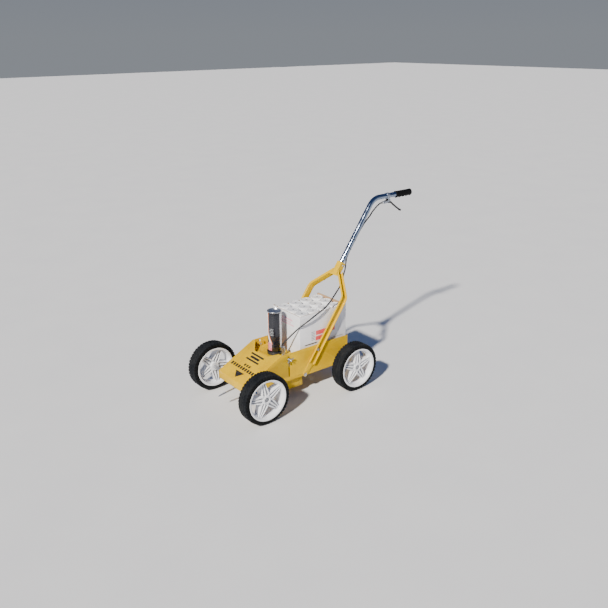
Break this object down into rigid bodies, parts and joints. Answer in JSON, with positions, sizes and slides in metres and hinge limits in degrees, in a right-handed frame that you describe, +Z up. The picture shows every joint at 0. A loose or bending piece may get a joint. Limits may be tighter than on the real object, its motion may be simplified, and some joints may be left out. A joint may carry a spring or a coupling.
{
  "type": "line striping machine",
  "caption": "Four-wheeled walk-behind line marker: an upside-down paint can sprays down through a sheet-steel body when a lever on the single-stalk handle is squeezed; spare cans ride behind.",
  "frame": {"origin": "on the ground, at the middle of the machine's footprint box", "axes": "-Y is the way it rolls forward, so the handle reaches back along +Y; +X is the operator's left; +Z up"},
  "size_m": [0.5066, 1.2074, 0.8763],
  "materials": {
    "yellow_enamel": "glossy safety-yellow enamel on sheet steel",
    "bright_zinc": "zinc plated",
    "tyre_rubber": "moulded black rubber, dusty tread",
    "white_plastic": "moulded white plastic",
    "black_plastic": "satin black",
    "chrome_plate": "polished",
    "grip_rubber": "soft matt grip",
    "cast_alloy": "die cast, satin",
    "black_enamel": "satin black enamel",
    "can_label": "printed gloss label over tinplate",
    "valve_plastic": "moulded",
    "carton_board": "white-faced corrugated board, brown inside",
    "spare_can_cap": "white caps"
  },
  "bodies": {
    "chassis": {"side_panel_left": "yellow_enamel", "side_panel_right": "yellow_enamel", "nose_panel": "yellow_enamel", "tray_floor": "yellow_enamel", "tray_bulkhead": "yellow_enamel", "spray_shroud": "yellow_enamel", "pointer_bracket": "bright_zinc", "front_axle": "bright_zinc", "rear_axle": "bright_zinc", "axle_cap_front_left": "black_plastic", "axle_cap_front_right": "black_plastic", "axle_cap_rear_left": "black_plastic", "axle_cap_rear_right": "black_plastic", "axle_spacer_front_left": "bright_zinc", "axle_spacer_front_right": "bright_zinc", "axle_spacer_rear_left": "bright_zinc", "axle_spacer_rear_right": "bright_zinc", "yoke_arm_left": "yellow_enamel", "yoke_arm_right": "yellow_enamel", "handle_socket": "yellow_enamel", "socket_bolt": "bright_zinc", "cable_tie_upper": "black_plastic", "cable_tie_lower": "black_plastic", "arm_foot_bolt_left": "bright_zinc", "arm_foot_bolt_right": "bright_zinc", "arm_mid_bolt_left": "bright_zinc", "arm_mid_bolt_right": "bright_zinc", "handle_tube": "chrome_plate", "handle_grip": "grip_rubber", "lever_clamp": "cast_alloy", "lever_pin": "bright_zinc", "cable_adjuster": "bright_zinc", "cable_housing": "black_plastic"},
    "wheel_front_left": {"tyre_front_left": "tyre_rubber", "rim_front_left": "white_plastic"},
    "wheel_front_right": {"tyre_front_right": "tyre_rubber", "rim_front_right": "white_plastic"},
    "wheel_rear_left": {"tyre_rear_left": "tyre_rubber", "rim_rear_left": "white_plastic"},
    "wheel_rear_right": {"tyre_rear_right": "tyre_rubber", "rim_rear_right": "white_plastic"},
    "trigger": {"trigger_lever": "black_enamel"},
    "pointer": {"pointer_rod": "bright_zinc"},
    "carriage": {"can_carriage": "yellow_enamel", "can_collar": "black_plastic", "cable_bracket": "bright_zinc", "actuator_pin": "bright_zinc", "wing_bolt_left": "bright_zinc", "wing_bolt_right": "bright_zinc"},
    "pull_wire": {"cable_wire": "bright_zinc"},
    "actuator": {"actuator_lever": "bright_zinc"},
    "left_wing_nut": {"wing_nut_left": "bright_zinc"},
    "right_wing_nut": {"wing_nut_right": "bright_zinc"},
    "paint_can": {"spray_can": "can_label"},
    "valve_tip": {"spray_tip": "valve_plastic"},
    "spares": {"carton": "carton_board", "spare_cans_right": "spare_can_cap", "spare_cans_middle": "spare_can_cap", "spare_cans_left": "spare_can_cap"}
  },
  "joints": [
    {"name": "wheel_front_left_spin", "type": "hinge", "parent": "chassis", "child": "wheel_front_left", "pos_m": [0.22, -0.48475, 0.119], "axis": [1, 0, 0], "continuous": true},
    {"name": "wheel_front_right_spin", "type": "hinge", "parent": "chassis", "child": "wheel_front_right", "pos_m": [-0.22, -0.48475, 0.119], "axis": [1, 0, 0], "continuous": true},
    {"name": "wheel_rear_left_spin", "type": "hinge", "parent": "chassis", "child": "wheel_rear_left", "pos_m": [0.22, 0.04525, 0.119], "axis": [1, 0, 0], "continuous": true},
    {"name": "wheel_rear_right_spin", "type": "hinge", "parent": "chassis", "child": "wheel_rear_right", "pos_m": [-0.22, 0.04525, 0.119], "axis": [1, 0, 0], "continuous": true},
    {"name": "trigger_squeeze", "type": "hinge", "parent": "chassis", "child": "trigger", "pos_m": [0, 0.45425, 0.837], "axis": [1, 0, 0], "range_deg": [0, 24], "stiffness_Nm_per_rad": 2, "springref_deg": -8.59},
    {"name": "can_height", "type": "slide", "parent": "chassis", "child": "carriage", "axis": [0, 0, 1], "range_m": [-0.08, 0.02], "deforming": ["cable_housing"]},
    {"name": "actuator_rock", "type": "hinge", "parent": "carriage", "child": "actuator", "pos_m": [-0.05, -0.26475, 0.178], "axis": [0, -1, 0], "range_deg": [0, 5.5]},
    {"name": "wire_pull", "type": "slide", "parent": "carriage", "child": "pull_wire", "axis": [0, 0, 1], "range_m": [0, 0.0092], "deforming": ["cable_wire"]},
    {"name": "tip_press", "type": "slide", "parent": "paint_can", "child": "valve_tip", "axis": [0, 0, 1], "range_m": [0, 0.0035]},
    {"name": "paint_can_lift", "type": "slide", "parent": "carriage", "child": "paint_can", "axis": [0, 0, 1], "range_m": [0, 0.25]},
    {"name": "wing_nut_left_turn", "type": "hinge", "parent": "carriage", "child": "left_wing_nut", "pos_m": [0.126, -0.27075, 0.207], "axis": [1, 0, 0], "continuous": true},
    {"name": "wing_nut_right_turn", "type": "hinge", "parent": "carriage", "child": "right_wing_nut", "pos_m": [-0.126, -0.27075, 0.207], "axis": [1, 0, 0], "continuous": true},
    {"name": "carton_slide", "type": "slide", "parent": "chassis", "child": "spares", "axis": [0, 1, 0], "range_m": [0, 0.32]},
    {"name": "pointer_slide", "type": "slide", "parent": "chassis", "child": "pointer", "axis": [0, -0.9869, -0.1612], "range_m": [0, 0.02]}
  ],
  "couplings": [
    {"joint": "actuator_rock", "follows": "trigger_squeeze", "ratio": 0.229},
    {"joint": "wire_pull", "follows": "trigger_squeeze", "m_per_rad": 0.02195},
    {"joint": "tip_press", "follows": "trigger_squeeze", "m_per_rad": 0.00835}
  ]
}
